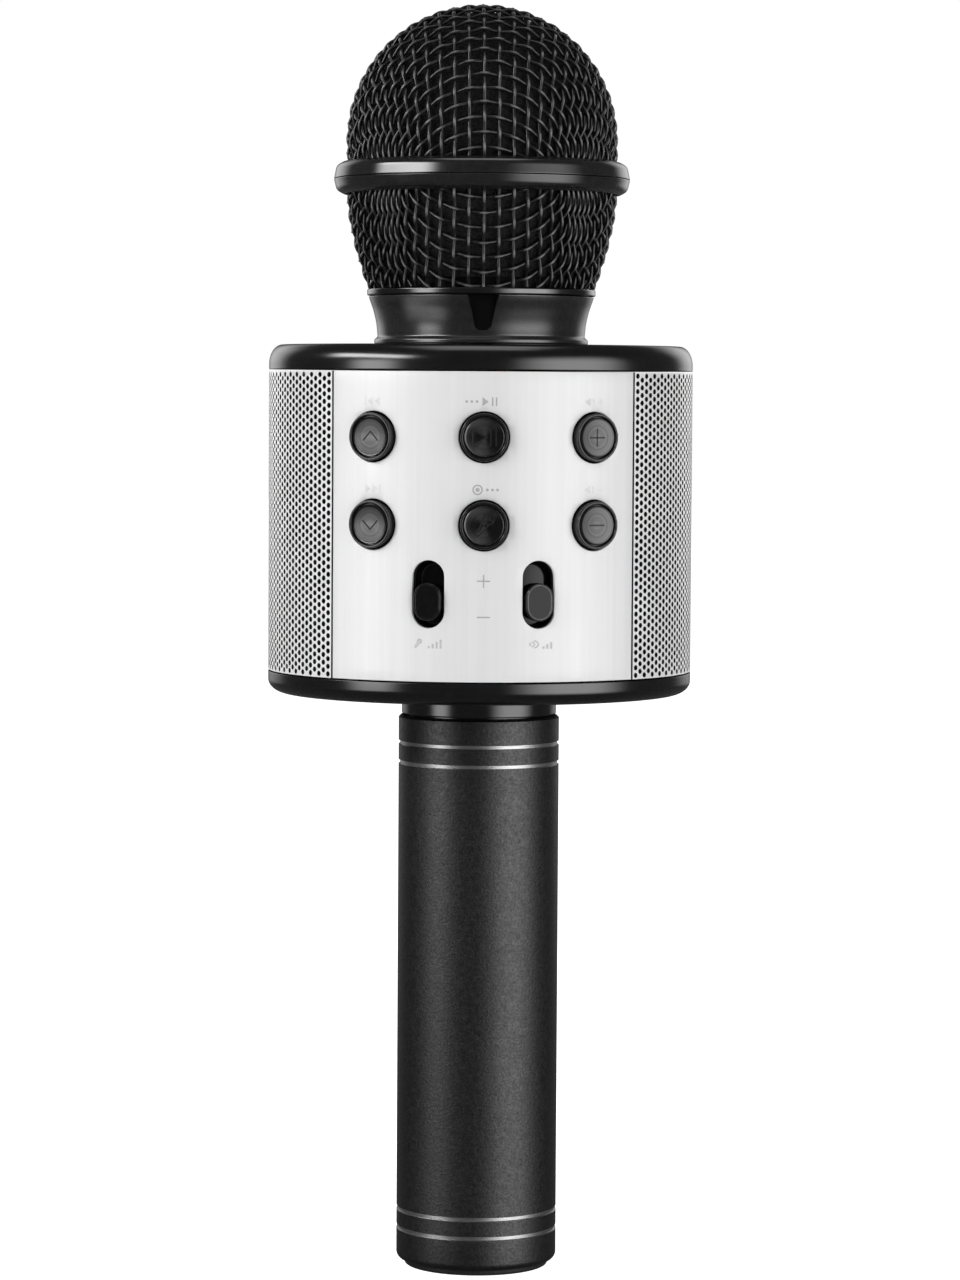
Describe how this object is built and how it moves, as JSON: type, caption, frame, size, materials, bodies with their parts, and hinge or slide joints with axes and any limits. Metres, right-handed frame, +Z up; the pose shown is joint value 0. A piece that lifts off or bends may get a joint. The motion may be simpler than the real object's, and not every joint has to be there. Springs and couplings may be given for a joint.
{
  "type": "karaoke microphone",
  "caption": "Karaoke microphone with a ball grille, a round speaker drum with a curved button and slider panel, and a tubular handle; it stands on its end cap.",
  "frame": {"origin": "centre of the end cap's flat face, on the surface that the microphone stands on", "axes": "+Z up along the handle, -Y towards the user of the control panel, +X to that user's right"},
  "size_m": [0.082, 0.0832, 0.2449],
  "materials": {
    "anodised": "bead-blasted, dark anodised, with bare turned grooves",
    "end_cap": "moulded, fine satin texture",
    "gloss_cover": "gloss black moulded plastic",
    "brushed_panel": "finely brushed, clear anodised",
    "speaker_grille": "perforated sheet, satin silver",
    "control_caps": "dark grey moulded caps with pale printed marks",
    "wire_mesh": "woven wire, black coated",
    "grille_band": "gloss black, fine seam at the middle",
    "polished_lip": "polished rolled lip",
    "foam": "open-cell dark grey foam",
    "acoustic_cloth": "black open weave",
    "inner_plastic": "moulded, unpainted",
    "circuit_board": "solder-masked laminate",
    "component_black": "moulded package",
    "bare_steel": "plated stamped steel",
    "magnet": "sintered ferrite and steel",
    "rubber": "moulded matt rubber",
    "cone_paper": "pressed paper",
    "battery": "shrink-sleeved lithium cell",
    "cable_jacket": "silicone-jacketed bundle"
  },
  "bodies": {
    "mic_body": {"handle_tube": "anodised", "handle_end_cap": "end_cap", "battery_cell": "battery", "battery_sleeve": "inner_plastic", "battery_cable": "cable_jacket", "drum_bottom_cover": "gloss_cover", "drum_top_cover": "gloss_cover", "drum_skeleton": "inner_plastic", "button_frame": "inner_plastic", "control_panel": "brushed_panel", "speaker_grille": "speaker_grille", "acoustic_cloth": "acoustic_cloth", "bottom_cover_screw_1": "bare_steel", "bottom_cover_screw_2": "bare_steel", "bottom_cover_screw_3": "bare_steel", "bottom_cover_screw_4": "bare_steel", "tact_switch_previous": "component_black", "tact_switch_play_pause": "component_black", "tact_switch_volume_up": "component_black", "tact_switch_next": "component_black", "tact_switch_record": "component_black", "tact_switch_volume_down": "component_black", "mic_volume_fader": "bare_steel", "echo_fader": "bare_steel", "control_board": "circuit_board", "main_board": "circuit_board", "wireless_module": "component_black", "amplifier_chip": "component_black", "usb_socket": "bare_steel", "charging_socket": "bare_steel", "card_socket": "bare_steel", "aux_jack": "component_black", "power_switch_body": "bare_steel", "speaker_baffle": "inner_plastic", "speaker_frame": "bare_steel", "speaker_magnet": "magnet", "speaker_surround": "rubber", "neck_collar": "gloss_cover", "capsule_plate": "inner_plastic", "capsule_cup": "rubber", "mic_capsule": "bare_steel", "capsule_cable": "cable_jacket"},
    "button_previous": {"button_previous": "control_caps"},
    "button_play_pause": {"button_play_pause": "control_caps"},
    "button_volume_up": {"button_volume_up": "control_caps"},
    "button_next": {"button_next": "control_caps"},
    "button_record": {"button_record": "control_caps"},
    "button_volume_down": {"button_volume_down": "control_caps"},
    "mic_volume_slider": {"mic_volume_slider": "control_caps"},
    "echo_slider": {"echo_slider": "control_caps"},
    "power_switch_knob": {"power_switch_knob": "control_caps"},
    "speaker_cone": {"speaker_cone": "cone_paper"},
    "head_thread_ring": {"grille_thread_ring": "polished_lip"},
    "head_grille": {"grille_basket": "wire_mesh", "grille_band_lower": "grille_band", "grille_band_upper": "grille_band", "grille_dome": "wire_mesh", "foam_windscreen": "foam"}
  },
  "joints": [
    {"name": "press_previous", "type": "slide", "parent": "mic_body", "child": "button_previous", "axis": [0, 1, 0], "range_m": [0, 0.0005], "stiffness_N_per_m": 500},
    {"name": "press_play_pause", "type": "slide", "parent": "mic_body", "child": "button_play_pause", "axis": [0, 1, 0], "range_m": [0, 0.0005], "stiffness_N_per_m": 500},
    {"name": "press_volume_up", "type": "slide", "parent": "mic_body", "child": "button_volume_up", "axis": [0, 1, 0], "range_m": [0, 0.0005], "stiffness_N_per_m": 500},
    {"name": "press_next", "type": "slide", "parent": "mic_body", "child": "button_next", "axis": [0, 1, 0], "range_m": [0, 0.0005], "stiffness_N_per_m": 500},
    {"name": "press_record", "type": "slide", "parent": "mic_body", "child": "button_record", "axis": [0, 1, 0], "range_m": [0, 0.0005], "stiffness_N_per_m": 500},
    {"name": "press_volume_down", "type": "slide", "parent": "mic_body", "child": "button_volume_down", "axis": [0, 1, 0], "range_m": [0, 0.0005], "stiffness_N_per_m": 500},
    {"name": "mic_volume_slide", "type": "slide", "parent": "mic_body", "child": "mic_volume_slider", "axis": [0, 0, 1], "range_m": [-0.0012, 0.004]},
    {"name": "echo_slide", "type": "slide", "parent": "mic_body", "child": "echo_slider", "axis": [0, 0, 1], "range_m": [-0.0012, 0.004]},
    {"name": "power_switch_slide", "type": "slide", "parent": "mic_body", "child": "power_switch_knob", "axis": [0, -1, 0], "range_m": [0, 0.0022]},
    {"name": "speaker_cone_travel", "type": "slide", "parent": "mic_body", "child": "speaker_cone", "axis": [0, 1, 0], "range_m": [-0.001, 0.001], "stiffness_N_per_m": 1500},
    {"name": "head_lift", "type": "slide", "parent": "mic_body", "child": "head_thread_ring", "axis": [0, 0, 1], "range_m": [0, 0.006]},
    {"name": "head_unscrew", "type": "hinge", "parent": "head_thread_ring", "child": "head_grille", "pos_m": [0, 0, 0.2], "axis": [0, 0, 1], "range_deg": [0, 1080]}
  ],
  "couplings": [
    {"joint": "head_lift", "follows": "head_unscrew", "m_per_rad": 0.00031831}
  ]
}
